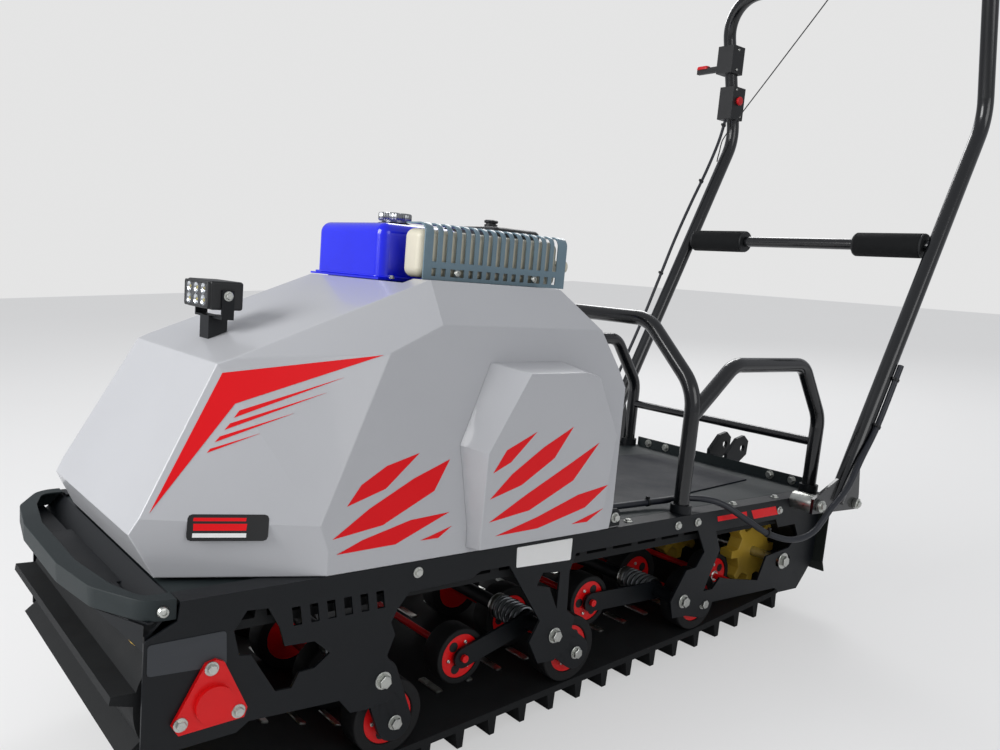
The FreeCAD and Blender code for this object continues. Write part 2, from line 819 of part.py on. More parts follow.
def switch_box():
    z = 1226
    x = upper_x(z)
    y = -handle_half_width
    case = box(x - 22, x + 30, y - 22, y + 22, z - 44, z + 40)
    bore = rod((upper_x(1100), y, 1100), (upper_x(1400), y, 1400), handle_tube + fit_gap)
    return case.cut(bore)


# ---- cables ----
cable_y = 350
left_loom = [(-57, 190, 329.6), (-120, 197, 329.6), (-190, 204, 331), (-252, 212, 333), (-300, 236, 340),
             (-342, 272, 337), (-388, 303, 309), (-440, 322, 279), (-500, 338, 264), (-555, 347, 275),
             (handle_pivot[0] + 5, cable_y, handle_pivot[1] - 5)]
left_riser = [(handle_pivot[0] - 5, cable_y, handle_pivot[1] + 5), (-656, 352, 356), (-702, 346, 409),
              (handle_x(480) - 10, 341.5, 480), (handle_x(600) - 10, 341.5, 600)]
right_riser = [(-1022, -321, 1180.6), (-1006, -323, 1120), (-975, -328, 1040), (-932, -333, 950),
               (-888, -338, 850), (-845, -342, 740), (-800, -345, 630), (-752, -346, 530),
               (-700, -348, 430), (-650, -350, 358), (handle_pivot[0] - 5, -cable_y, handle_pivot[1] + 5)]
right_loom = [(handle_pivot[0] + 5, -cable_y, handle_pivot[1] - 5), (-560, -347, 286), (-505, -332, 277),
              (-440, -308, 294), (-385, -281, 322), (-330, -245, 337), (-262, -219, 334), (-190, -206, 328.5),
              (-120, -197, 327.4), (-55.8, -190, 327.4)]


# ---- assembly ----
def stance(shape):
    turn = FreeCAD.Rotation(Vector(0, 1, 0), -stance_deg)
    moved = shape.copy()
    moved.Placement = FreeCAD.Placement(Vector(0, 0, 0), turn).multiply(shape.Placement)
    return moved


def to_origin(shapes):
    """The move that puts the middle of the shapes' lowest face of their box at the origin."""
    points = [point for shape in shapes for point in shape.tessellate(0.1)[0]]
    xs = [point.x for point in points]
    ys = [point.y for point in points]
    return Vector(-(min(xs) + max(xs)) / 2, -(min(ys) + max(ys)) / 2, -min(point.z for point in points))


def build():
    outer = hood_outer()
    left_panel = side_panel(outer)
    arch = front_arch()
    hoop = side_hoop(arch)
    hoops = Part.makeCompound([hoop, mirrored(hoop)])
    return {
        "side_frame_left": side_frame(),
        "side_frame_right": mirrored(side_frame()),
        "floor_pan": floor_pan(),
        "deck_panel": deck_panel(),
        "deck_mat": deck_mat(),
        "front_bumper": front_bumper(),
        "nose_gussets": nose_gussets(),
        "nose_plate": nose_plate(),
        "track": track(),
        "drive_shaft": drive_shaft(),
        "drive_wheels": toothed_wheels(drive_axle, shaft_radius),
        "idler_shaft": idler_shaft(),
        "idler_wheels": toothed_wheels(idler_axle, idler_radius),
        "bearing_flanges": bearing_flanges(),
        "pivot_tubes": pivot_tubes(),
        "trailing_arms": trailing_arms(),
        "spring_packs": spring_packs(),
        "road_discs": road_discs(),
        "road_tyres": roller_tyres((roller_front, roller_middle, roller_rear), road_rows,
                                   disc_radius, roller_radius),
        "return_discs": return_discs(),
        "return_tyres": roller_tyres(return_rollers + [tail_roller], return_rows, return_disc, return_radius),
        "return_links": return_links(),
        "tensioners": tensioners(),
        "hood_shell": hood_shell(outer),
        "hood_panel_left": left_panel,
        "hood_panel_right": mirrored(left_panel),
        "engine_block": engine_block(),
        "fuel_tank": fuel_tank(),
        "fuel_cap": fuel_cap(),
        "muffler": muffler(),
        "muffler_guard": muffler_guard(),
        "air_filter": air_filter(),
        "work_light": work_light(),
        "light_bracket": light_bracket(),
        "front_arch": arch,
        "side_hoops": hoops,
        "rear_cross_bar": cross_bar(hoops),
        "post_feet": post_feet(),
        "tow_hitch": tow_hitch(),
        "mud_flap": mud_flap(),
        "handle_bearings": handle_bearings(),
        "handlebar": handlebar(),
        "lock_bolts": lock_bolts(),
        "foam_grips": foam_grips(),
        "throttle_lever": throttle_lever(),
        "switch_box": switch_box(),
        "cable_left_lower": cable("left loom", left_loom, 6),
        "cable_left_upper": cable("left riser", left_riser, 6),
        "cable_right_lower": cable("right loom", right_loom, 4),
        "cable_right_upper": cable("right riser", right_riser, 4),
    }


pieces = {name: stance(shape) for name, shape in build().items()}
shift = to_origin(pieces.values())
os.makedirs("parts", exist_ok=True)
for name, shape in pieces.items():
    shape.translate(shift)
    shape.exportStep("parts/" + name + ".step")
    if not shape.isValid():
        print(name, "is not valid")
marks = {"handle_pivot": (handle_pivot[0], handle_pivot[1]),
         "hitch_bore": (frame_rear - hitch_reach, hitch_height)}
for label, (x, z) in marks.items():
    mark = stance(Part.Vertex(Vector(x, 0, z))).Point + shift
    print(label, round(mark.x, 3), round(mark.y, 3), round(mark.z, 3))
print("shift", round(shift.x, 3), round(shift.y, 3), round(shift.z, 3))
print("solids", sum(len(shape.Solids) for shape in pieces.values()))
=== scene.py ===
import itertools
import math
import bmesh
import bpy
import numpy as np
from mathutils import Matrix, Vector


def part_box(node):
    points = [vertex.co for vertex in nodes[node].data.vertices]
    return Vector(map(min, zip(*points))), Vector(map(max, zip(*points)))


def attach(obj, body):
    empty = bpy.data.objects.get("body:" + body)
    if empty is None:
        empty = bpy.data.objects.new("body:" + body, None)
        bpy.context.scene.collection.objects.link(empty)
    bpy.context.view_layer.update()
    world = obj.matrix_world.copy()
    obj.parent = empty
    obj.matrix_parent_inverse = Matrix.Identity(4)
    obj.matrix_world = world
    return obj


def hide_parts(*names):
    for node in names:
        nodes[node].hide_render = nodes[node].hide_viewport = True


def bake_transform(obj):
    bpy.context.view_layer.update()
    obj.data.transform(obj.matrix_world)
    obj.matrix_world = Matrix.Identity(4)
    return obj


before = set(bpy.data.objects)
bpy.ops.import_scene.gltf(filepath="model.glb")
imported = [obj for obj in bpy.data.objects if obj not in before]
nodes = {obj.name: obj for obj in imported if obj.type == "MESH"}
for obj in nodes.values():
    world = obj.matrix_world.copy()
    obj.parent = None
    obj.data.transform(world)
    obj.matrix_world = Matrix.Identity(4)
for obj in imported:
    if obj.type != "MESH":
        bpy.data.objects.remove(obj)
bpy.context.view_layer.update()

# Places are written in chassis millimetres (x forward, y left, z up) and turned nose up into the row frame
stance = math.radians(4.45)
turn = np.array([[math.cos(stance), 0, -math.sin(stance)], [0, 1, 0],
                 [math.sin(stance), 0, math.cos(stance)]])
frontAxle = np.array([0.623, 0, 0.187])
shift = np.mean(np.array([list(corner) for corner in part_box("drive_shaft")]), axis=0) - turn @ frontAxle
forward, rearward, sideways, upward = (1, 0, 0), (-1, 0, 0), (0, 1, 0), (0, 0, 1)


def toRow(points):
    return np.asarray(points, float) / 1000 @ turn.T + shift


# Surfaces: a part is (points, blocks), an (n, 3) array and a list of integer arrays, one row per face

def gridFaces(rows, columns):  # quads of a grid whose columns close on themselves
    i, j = np.meshgrid(np.arange(rows - 1), np.arange(columns), indexing="ij")
    k = (j + 1) % columns
    corners = [i * columns + j, i * columns + k, (i + 1) * columns + k, (i + 1) * columns + j]
    return np.stack(corners, -1).reshape(-1, 4)


def skin(rings):  # rings (rows, columns, 3) become a closed skin, its first and last ring capped
    rows, columns = rings.shape[:2]
    first = np.arange(columns)[None, ::-1]
    last = np.arange(columns)[None] + (rows - 1) * columns
    return rings.reshape(-1, 3), [gridFaces(rows, columns), first, last]


def hoop(rings):  # rings closed both ways, like a torus
    rows, columns = rings.shape[:2]
    points, blocks = skin(np.concatenate([rings, rings[:1]]))
    return rings.reshape(-1, 3), [blocks[0] % (rows * columns)]


def turned(profile, sides=24, flutes=0.0):
    # p(s, a) = (r(s) cos a, r(s) sin a, h(s)), with r waved by flutes
    heights, radii = np.array(profile, float).T
    a = np.linspace(0, 2 * math.pi, sides, endpoint=False)
    wave = 1 + flutes * np.cos(a * sides / 2)
    return skin(np.stack([radii[:, None] * np.cos(a) * wave, radii[:, None] * np.sin(a) * wave,
                          np.repeat(heights[:, None], sides, 1)], -1))


def tube(path, radius, sides=12, side=sideways, closed=False):
    # p(s, a) = c(s) + radius (cos a n(s) + sin a b(s)), with n and b square to the path
    path = np.asarray(path, float)
    along = np.gradient(path, axis=0)
    if closed:
        along = np.roll(path, -1, 0) - np.roll(path, 1, 0)
    along /= np.linalg.norm(along, axis=1, keepdims=True)
    n = np.cross(along, np.array(side, float))
    n /= np.linalg.norm(n, axis=1, keepdims=True)
    b = np.cross(along, n)
    a = np.linspace(0, 2 * math.pi, sides, endpoint=False)[None, :, None]
    radius = np.broadcast_to(np.asarray(radius, float), (len(path),))[:, None, None]
    rings = path[:, None] + radius * (np.cos(a) * n[:, None] + np.sin(a) * b[:, None])
    return hoop(rings) if closed else skin(rings)


def slab(outline, low, high, bevel=0.0):
    # an outline (n, 2) between two heights, its top edge drawn in by the bevel
    outline = np.array(outline, float)
    middle = outline.mean(0)
    reach = np.linalg.norm(outline - middle, axis=1, keepdims=True)
    inner = middle + (outline - middle) * (1 - bevel / reach)
    levels = [(outline, low), (outline, high)]
    if bevel:
        levels = [(outline, low), (outline, high - bevel), (inner, high)]
    return skin(np.stack([np.column_stack([points, np.full(len(points), z)]) for points, z in levels]))


def roundedOutline(width, height, corner, steps=4):
    # four quarter circles joined by straight sides
    a = np.linspace(0, math.pi / 2, steps + 1)
    across, tall = width / 2 - corner, height / 2 - corner
    arcs = [np.stack([sx * across + corner * np.cos(a + q), sz * tall + corner * np.sin(a + q)], -1)
            for q, sx, sz in ((0, 1, 1), (math.pi / 2, -1, 1), (math.pi, -1, -1), (1.5 * math.pi, 1, -1))]
    return np.concatenate(arcs)


def joined(*parts):
    starts = np.cumsum([0] + [len(points) for points, blocks in parts])
    blocks = [block + start for (points, faces), start in zip(parts, starts) for block in faces]
    return np.concatenate([points for points, faces in parts]), blocks


def repeated(part, places, axis=upward, up=forward, spins=0.0):
    # copies of one small part: its own z along the axis, turned round it by spins
    points, blocks = part
    places = np.array(places, float).reshape(-1, 3)
    axis = np.broadcast_to(np.array(axis, float), places.shape)
    axis = axis / np.linalg.norm(axis, axis=1, keepdims=True)
    u = np.cross(np.broadcast_to(np.array(up, float), places.shape), axis)
    u /= np.linalg.norm(u, axis=1, keepdims=True)
    v = np.cross(axis, u)
    spins = np.broadcast_to(np.asarray(spins, float), (len(places),))[:, None]
    u, v = np.cos(spins) * u + np.sin(spins) * v, np.cos(spins) * v - np.sin(spins) * u
    x, y, z = (points[None, :, i:i + 1] for i in range(3))
    moved = places[:, None] + x * u[:, None] + y * v[:, None] + z * axis[:, None]
    starts = (np.arange(len(places)) * len(points))[:, None, None]
    return moved.reshape(-1, 3), [(block[None] + starts).reshape(-1, block.shape[1]) for block in blocks]


def mirroredToo(part):
    points, blocks = part
    return joined(part, (points * np.array([1, -1, 1]), blocks))


def smoothPath(corners, perSpan=10):
    # Catmull-Rom: c(t) through the corners, each span a cubic of its four neighbours
    corners = np.array(corners, float)
    padded = np.concatenate([2 * corners[:1] - corners[1:2], corners, 2 * corners[-1:] - corners[-2:-1]])
    t = np.linspace(0, 1, perSpan, endpoint=False)[None, :, None]
    a, b, c, d = (padded[i:len(padded) - 3 + i, None] for i in range(4))
    cubic = 2 * b + (c - a) * t + (2 * a - 5 * b + 4 * c - d) * t ** 2 + (3 * b - a - 3 * c + d) * t ** 3
    path = np.concatenate([(0.5 * cubic).reshape(-1, 3), corners[-1:]])
    return np.clip(path, corners.min(0), corners.max(0))


def addPiece(name, part, material, body="chassis", sharp=35):
    points, blocks = part
    mesh = bpy.data.meshes.new(name)
    faces = list(itertools.chain.from_iterable(block.tolist() for block in blocks))
    mesh.from_pydata(toRow(points).tolist(), [], faces)
    shell = bmesh.new()
    shell.from_mesh(mesh)
    bmesh.ops.recalc_face_normals(shell, faces=shell.faces)  # outward on every closed part
    shell.to_mesh(mesh)
    shell.free()
    mesh.shade_smooth()
    mesh.set_sharp_from_angle(angle=math.radians(sharp))
    mesh.materials.append(material)
    piece = bpy.data.objects.new(name, mesh)
    bpy.context.scene.collection.objects.link(piece)
    if body:
        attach(piece, body)
    return piece


# Materials: two drifting tones, a grain and perhaps a coat
def linear(colour):
    value = np.array([int(colour[i:i + 2], 16) for i in (1, 3, 5)]) / 255
    curve = np.where(value <= 0.04045, value / 12.92, ((value + 0.055) / 1.055) ** 2.4)
    return [float(v) for v in curve] + [1.0]


def addNode(tree, kind, inputs=None, **settings):
    node = tree.nodes.new(kind)
    for key, value in settings.items():
        setattr(node, key, value)
    for key, value in (inputs or {}).items():
        if isinstance(value, bpy.types.NodeSocket):
            tree.links.new(value, node.inputs[key])
        else:
            node.inputs[key].default_value = value
    return node


def makeMaterial(name, colour, second, roughness, spread=0.08, blotch=60, grain=1.0, relief=0.0, metallic=0.0,
                 ior=None, coat=0.0, transmission=0.0, stretch=(1, 1, 1), specular=0.5):
    # colour drifts between two tones over blotch mm, roughness with it, relief is the grain's height in mm
    material = bpy.data.materials.new(name)
    material.use_nodes = True
    tree = material.node_tree
    shader = tree.nodes["Principled BSDF"]
    place = addNode(tree, "ShaderNodeTexCoord").outputs["Object"]
    scaled = addNode(tree, "ShaderNodeMapping", {"Vector": place, "Scale": stretch}).outputs["Vector"]
    broad = addNode(tree, "ShaderNodeTexNoise",
                    {"Vector": scaled, "Scale": 1000 / blotch, "Detail": 4.0, "Roughness": 0.55})
    fine = addNode(tree, "ShaderNodeTexNoise", {"Vector": scaled, "Scale": 1000 / grain, "Detail": 2.0})
    both = addNode(tree, "ShaderNodeMix",
                   {"Factor": 0.35, "A": broad.outputs["Fac"], "B": fine.outputs["Fac"]}, data_type="FLOAT")
    tone = addNode(tree, "ShaderNodeMapRange", {"Value": both.outputs[0], "From Min": 0.25, "From Max": 0.75})
    paint = addNode(tree, "ShaderNodeMix", data_type="RGBA")
    tree.links.new(tone.outputs["Result"], paint.inputs["Factor"])
    paint.inputs[6].default_value = linear(colour)
    paint.inputs[7].default_value = linear(second)
    tree.links.new(paint.outputs[2], shader.inputs["Base Color"])
    rough = addNode(tree, "ShaderNodeMapRange", {"Value": both.outputs[0], "From Min": 0.3, "From Max": 0.7,
                                                 "To Min": roughness - spread, "To Max": roughness + spread})
    tree.links.new(rough.outputs["Result"], shader.inputs["Roughness"])
    if relief:
        bump = addNode(tree, "ShaderNodeBump",
                       {"Height": fine.outputs["Fac"], "Distance": relief / 1000, "Strength": 1.0})
        tree.links.new(bump.outputs["Normal"], shader.inputs["Normal"])
    shader.inputs["Metallic"].default_value = metallic
    shader.inputs["Specular IOR Level"].default_value = specular
    if ior:
        shader.inputs["IOR"].default_value = ior
    if coat:
        shader.inputs["Coat Weight"].default_value = coat
        shader.inputs["Coat Roughness"].default_value = 0.06
    shader.inputs["Transmission Weight"].default_value = transmission
    return material


# name: (first tone, second tone, roughness, its spread, blotch mm, grain mm, relief mm, other settings)
finishes = {
    # satin texture, its fine grain scatters the highlight along each edge
    "blackPowderCoat": ("#080B0F", "#0F1317", 0.44, 0.06, 90, 1.2, 0.05, dict(ior=1.5, specular=0.28)),
    # greenish grey with coarser grain, the deck looks matt beside the frames
    "deckPowderCoat": ("#1B2224", "#252D2E", 0.56, 0.06, 120, 1.6, 0.08, dict(ior=1.5, specular=0.3)),
    # blue-black sheet, dull with scuffs
    "deckRubberMat": ("#0C1018", "#131925", 0.62, 0.08, 80, 2.2, 0.1, dict(ior=1.52, specular=0.3)),
    # dry tread rubber, dusty in the hollows
    "trackRubber": ("#0E0F11", "#1B1D1E", 0.78, 0.08, 45, 2.0, 0.12, dict(ior=1.52, specular=0.3)),
    # zinc plate, its cloudy passivation keeps bolts from looking chromed
    "zincPlatedSteel": ("#B9BBB6", "#D3D4CE", 0.32, 0.08, 9, 0.8, 0.01, dict(metallic=1.0)),
    # waxy golden nylon of the toothed wheels
    "goldenNylon": ("#C8A230", "#D8B447", 0.42, 0.06, 30, 1.2, 0.02, dict(ior=1.53)),
    # red gloss paint on cast parts, a little orange peel
    "redEnamel": ("#D80A0E", "#E41014", 0.34, 0.05, 40, 1.4, 0.02, dict(ior=1.5, specular=0.35)),
    # phosphated spring wire, dark with a soft glint
    "springSteel": ("#8E9294", "#A9ADAF", 0.34, 0.06, 12, 0.8, 0.01, dict(metallic=1.0)),
    # roller tyres, cleaner and blacker than the belt
    "rollerRubber": ("#0A0A0B", "#121314", 0.66, 0.08, 30, 1.5, 0.06, dict(ior=1.52, specular=0.3)),
    # light grey gloss hood paint with a clear coat's reflections
    "greyHoodPaint": ("#B4B5B8", "#B9BABD", 0.34, 0.04, 180, 1.6, 0.006, dict(ior=1.5, coat=0.3)),
    # as-cast aluminium of the block, matt
    "castAluminium": ("#5C5F62", "#6F7275", 0.52, 0.08, 25, 1.2, 0.06, dict(metallic=0.8)),
    # strong blue gloss tank
    "blueTankEnamel": ("#0614D8", "#0A1CE6", 0.22, 0.04, 70, 2.0, 0.008, dict(ior=1.5, coat=0.4)),
    # chromed cap, softly blurred reflections
    "chromePlate": ("#8E9092", "#9A9C9E", 0.24, 0.03, 20, 1.0, 0.0, dict(metallic=1.0)),
    # cream heat paint on the muffler
    "creamHeatPaint": ("#CFC9B4", "#DAD4C1", 0.42, 0.06, 35, 1.2, 0.03, dict(ior=1.5)),
    # blue-grey coated guard sheet
    "blueGreyGuardCoat": ("#657C88", "#718894", 0.38, 0.06, 40, 1.2, 0.02, dict(ior=1.5, coat=0.2)),
    # moulded black plastic, spark texture
    "blackMouldedPlastic": ("#141516", "#1B1C1E", 0.46, 0.06, 30, 1.0, 0.04, dict(ior=1.46)),
    # glossy black on the bent tubes, long clean highlights
    "blackTubeGloss": ("#06070A", "#0B0D10", 0.24, 0.05, 120, 1.6, 0.015, dict(ior=1.5, coat=0.4)),
    # green-black flap, matt and slightly uneven
    "flapRubber": ("#0F1411", "#171D19", 0.72, 0.08, 35, 1.8, 0.08, dict(ior=1.52, specular=0.3)),
    # open foam of the grips, soft pitted surface
    "blackFoam": ("#0D0E0F", "#1A1B1C", 0.86, 0.06, 12, 1.6, 0.3, dict(ior=1.4, specular=0.3)),
    # bright red moulding of the lever and button
    "redMouldedPlastic": ("#C2161C", "#CC1E24", 0.36, 0.05, 20, 1.0, 0.02, dict(ior=1.46)),
    # corrugated cable sleeve, blue-black
    "cableSleevePvc": ("#12151C", "#1A1E28", 0.42, 0.08, 15, 1.0, 0.03, dict(ior=1.53)),
    # red cut vinyl, even and glossy
    "redVinyl": ("#E2000E", "#E60714", 0.36, 0.03, 90, 1.0, 0.0, dict(ior=1.5, specular=0.25)),
    # black printed vinyl
    "blackVinyl": ("#0A0A0B", "#0F1011", 0.34, 0.03, 60, 1.0, 0.0, dict(ior=1.5)),
    # white printed vinyl
    "whiteVinyl": ("#E6E6E4", "#EDEDEB", 0.34, 0.03, 60, 1.0, 0.0, dict(ior=1.5)),
    # brushed anodised data plate, left blank
    "greyAnodised": ("#35383C", "#3D4044", 0.42, 0.06, 30, 0.8, 0.01,
                     dict(metallic=0.3, stretch=(0.2, 1, 1))),
    # clear lens with sharp reflections
    "clearAcrylic": ("#F4F6F8", "#FFFFFF", 0.04, 0.01, 60, 1.0, 0.0, dict(ior=1.49, transmission=1.0)),
    # vacuum metallised reflector cups
    "metallisedReflector": ("#D9DBDD", "#E4E6E8", 0.14, 0.03, 8, 0.6, 0.0, dict(metallic=1.0)),
    # yellow phosphor of each lamp chip
    "phosphorYellow": ("#D9C24A", "#E2CD5C", 0.5, 0.03, 5, 0.5, 0.0, dict(ior=1.45)),
    # painted shade: near-black standing in for the shade inside pressed recesses
    "recessShadePaint": ("#0C0C0D", "#131314", 0.6, 0.05, 20, 1.0, 0.02, dict(ior=1.5)),
}
materials = {name: makeMaterial(name, *values, **more) for name, (*values, more) in finishes.items()}
zinc, plastic = materials["zincPlatedSteel"], materials["blackMouldedPlastic"]

nodeFinish = {
    "blackPowderCoat": ["side_frame_left", "side_frame_right", "nose_plate", "nose_gussets", "trailing_arms",
                        "pivot_tubes", "return_links", "tow_hitch", "post_feet", "light_bracket"],
    "deckPowderCoat": ["floor_pan", "deck_panel", "front_bumper"],
    "deckRubberMat": ["deck_mat"],
    "trackRubber": ["track"],
    "zincPlatedSteel": ["drive_shaft", "idler_shaft", "handle_bearings", "lock_bolts", "tensioners"],
    "goldenNylon": ["drive_wheels", "idler_wheels"],
    "redEnamel": ["bearing_flanges", "road_discs", "return_discs"],
    "springSteel": ["spring_packs"],
    "rollerRubber": ["road_tyres", "return_tyres"],
    "greyHoodPaint": ["hood_shell", "hood_panel_left", "hood_panel_right"],
    "castAluminium": ["engine_block"],
    "blueTankEnamel": ["fuel_tank"],
    "chromePlate": ["fuel_cap"],
    "creamHeatPaint": ["muffler"],
    "blueGreyGuardCoat": ["muffler_guard"],
    "blackMouldedPlastic": ["air_filter", "work_light", "throttle_lever", "switch_box"],
    "blackTubeGloss": ["front_arch", "side_hoops", "rear_cross_bar", "handlebar"],
    "flapRubber": ["mud_flap"],
    "blackFoam": ["foam_grips"],
    "cableSleevePvc": ["cable_left_lower", "cable_left_upper", "cable_right_lower", "cable_right_upper"],
}
for finish, names in nodeFinish.items():
    for name in names:
        nodes[name].data.materials.clear()
        nodes[name].data.materials.append(materials[finish])
print("materials on", sum(len(names) for names in nodeFinish.values()), "nodes")

# Bent and moulded edges catch a thin highlight: welded seams, then a small bevel (mm)
edgeRadius = {"hood_shell": 2.2, "hood_panel_left": 2.2, "hood_panel_right": 2.2, "side_frame_left": 0.5,
              "side_frame_right": 0.5, "front_bumper": 1.0, "deck_panel": 1.0, "deck_mat": 0.8,
              "road_tyres": 3.0, "return_tyres": 2.5, "drive_wheels": 1.5, "idler_wheels": 1.5,
              "throttle_lever": 3.0, "switch_box": 3.5, "bearing_flanges": 1.2, "foam_grips": 3.0,
              "muffler_guard": 0.6, "tow_hitch": 0.8, "mud_flap": 0.8, "fuel_cap": 1.5,
              "trailing_arms": 1.0, "handle_bearings": 0.8, "lock_bolts": 0.8}
for name, radius in edgeRadius.items():
    weld = nodes[name].modifiers.new("weldedSeams", "WELD")
    weld.merge_threshold = 0.00002
    bevel = nodes[name].modifiers.new("bentEdges", "BEVEL")
    bevel.width = radius / 1000
    bevel.segments = 3
    bevel.limit_method = "ANGLE"
    bevel.angle_limit = math.radians(18 if name.startswith("hood") else 30)
    bevel.use_clamp_overlap = True
    bevel.harden_normals = True
print("bent edges done")

# Bolts, at places in chassis millimetres
pivots = [(376, 155), (49, 155), (-278, 155)]
rollers = [(348, 83), (-10, 111), (-346, 137)]


def hexBolt(across, height, washer):  # round washer, then a six-sided head chamfered at its top
    base = turned([(-0.6, washer), (1.1, washer), (1.6, washer - 0.6)], 16)
    radius = across / math.sqrt(3)
    head = turned([(1.0, radius), (height - 0.8, radius), (height, radius * 0.88)], 6)
    return joined(base, head)


def roundBolt(radius, height):  # low domed head with a socket's rim
    profile = [(-0.6, radius), (height * 0.45, radius), (height * 0.85, radius * 0.82),
               (height, radius * 0.5),
               (height * 0.6, radius * 0.42)]
    return turned(profile, 12)


def onSides(places, y):
    return [(x, y, z) for x, z in places]


def addBolts(name, bolt, places, axis=upward, up=forward, pair=True, body="chassis"):
    part = repeated(bolt, places, axis, up)
    addPiece(name, mirroredToo(part) if pair else part, zinc, body)


sideBoltSets = [  # (across flats, height, washer), places (x, z), side y, spins
    ((17, 9, 13), pivots, 270, (0.2, 0.5, 0.9)),
    ((15, 8, 11), rollers, 265, (0.4, 0.1, 0.7)),
    ((11, 6, 9), [(627, 232), (591, 169), (663, 170)], 276, (0.3, 0.0, 0.6)),
    ((19, 9, 17), [(-594, 187)], 270.4, 0.0),
    ((10, 5, 8), [(-556, 298), (-236, 304), (-292, 304), (-660, 298), (330, 304)], 270, 0.0),
    ((13, 6, 9.6), [(-604, 317)], 331.4, 0.0)]
sideBolts = joined(*[repeated(hexBolt(*head), onSides(places, y), sideways, spins=spins)
                     for head, places, y, spins in sideBoltSets])
addPiece("sideBolts", mirroredToo(sideBolts), zinc)
addBolts("lockBoltHexes", hexBolt(12, 5.5, 9), [(-745, 331.4, 308)], sideways, body="handlebar")
addBolts("deckBolts", hexBolt(10, 5, 8), [(x, 253, 320) for x in (-420, -560, -120, -640)])
addBolts("tankBolts", hexBolt(8, 4.5, 5.5), [(x, y, 701) for y in (39, -175) for x in (70, 165, 255)],
         pair=False)
addBolts("upstandBolts", hexBolt(12, 7, 10), [(-706, y, 331) for y in (146, 200, -146, -200)],
         forward, upward, pair=False)
addBolts("flapBolts", hexBolt(10, 5, 9), [(-713.3, y, 298) for y in (60, 160, 262)], rearward, upward)
addBolts("bumperBolts", roundBolt(7, 5), [(684, 267, 310)], sideways)
addBolts("guardBolts", roundBolt(6, 4), [(20, 112, 716), (182, 112, 716)], sideways, pair=False)
addBolts("lampBolts", hexBolt(9, 5, 7), [(527, 49.3, 661)], sideways)

lug = {"outline": [(-82, 322), (-50, 322), (-50, 346), (-58, 352), (-74, 352), (-82, 344)],
       "inner": 263.4, "outer": 266.6}
hoodLug = slab(lug["outline"], lug["inner"], lug["outer"])
hoodLug = (hoodLug[0][:, [0, 2, 1]], hoodLug[1])
addPiece("hoodLugs", mirroredToo(hoodLug), materials["blackPowderCoat"])
addBolts("hoodLugBolts", hexBolt(11, 7, 9), [(-69, 266.6, 337)], sideways)
print("bolts done")

# Running gear: coils, roller discs and what the belt carries
spring = {"radius": 19.4, "wire": 3.2, "low": 140, "high": 195, "turns": 6.5, "steps": 190, "flat": 0.08}


def coil(place):
    # helix round the pivot tube: c(t) = (x + r cos w t, y(t), z + r sin w t), with flat end turns
    t = np.linspace(0, 1, spring["steps"])
    eased = np.clip((t - spring["flat"]) / (1 - 2 * spring["flat"]), 0, 1)
    a = 2 * math.pi * spring["turns"] * t
    path = np.stack([place[0] + spring["radius"] * np.cos(a),
                     spring["low"] + (spring["high"] - spring["low"]) * eased,
                     place[1] + spring["radius"] * np.sin(a)], -1)
    return tube(path, spring["wire"], 8)


springs = addPiece("coilSprings", mirroredToo(joined(*[coil(place) for place in pivots])),
                   materials["springSteel"])
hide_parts("spring_packs")
collar = turned([(0, 12), (0, 21), (1.5, 22), (8.5, 22), (10, 21), (10, 12)], 28)
addPiece("springCollars", mirroredToo(repeated(collar, onSides(pivots, 126), sideways)), zinc)


def aroundDisc(reach, angles):
    return np.stack([reach * np.cos(angles), reach * np.sin(angles), 0 * angles], -1)


def discDetail(radius):
    # three lobes painted near-black as painted shade of the disc's recesses, a hub cap and three ring-head
    # screws on a disc's outer face
    a = np.arange(3) * 2 * math.pi / 3 + 0.5
    screwTurn = 1.05  # the screws stand between the lobes
    lobe = turned([(-0.5, radius * 0.23), (0.5, radius * 0.23), (0.6, radius * 0.2)], 14)
    screw = turned([(-0.5, radius * 0.085), (2.0, radius * 0.085), (2.6, radius * 0.06),
                    (2.2, radius * 0.04)], 8)
    hub = turned([(-0.5, radius * 0.3), (3.0, radius * 0.3), (4.0, radius * 0.26)], 18)
    lobes = repeated(lobe, aroundDisc(radius * 0.62, a))
    screws = repeated(screw, aroundDisc(radius * 0.66, a + screwTurn))
    return lobes, screws, hub


discSets = ((40, rollers, (246, 97)), (36, [(182, 119), (-102, 161), (-468, 151)], (197,)))
discSpins = np.array([0.2, 1.1, 0.7])
lobes, screws, hubs = [], [], []
for radius, places, rows in discSets:
    lobeSet, screwSet, hub = discDetail(radius)
    for y in rows:
        lobes.append(repeated(lobeSet, onSides(places, y), sideways, spins=discSpins))
        screws.append(repeated(screwSet, onSides(places, y), sideways, spins=discSpins))
        hubs.append(repeated(hub, onSides(places, y), sideways))
# painted shade: the lobes are near-black sheets standing in for the shade in the discs' recesses
addPiece("discRecessShade", mirroredToo(joined(*lobes)), materials["recessShadePaint"])
addPiece("discScrews", mirroredToo(joined(*screws)), zinc)
addPiece("discHubs", mirroredToo(joined(*hubs)), zinc)

beltLoop = {"circles": [(-594, 187, 75), (-346, 137, 57), (348, 83, 57), (623, 187, 75)], "offset": 0.3,
            "pitch": 64}


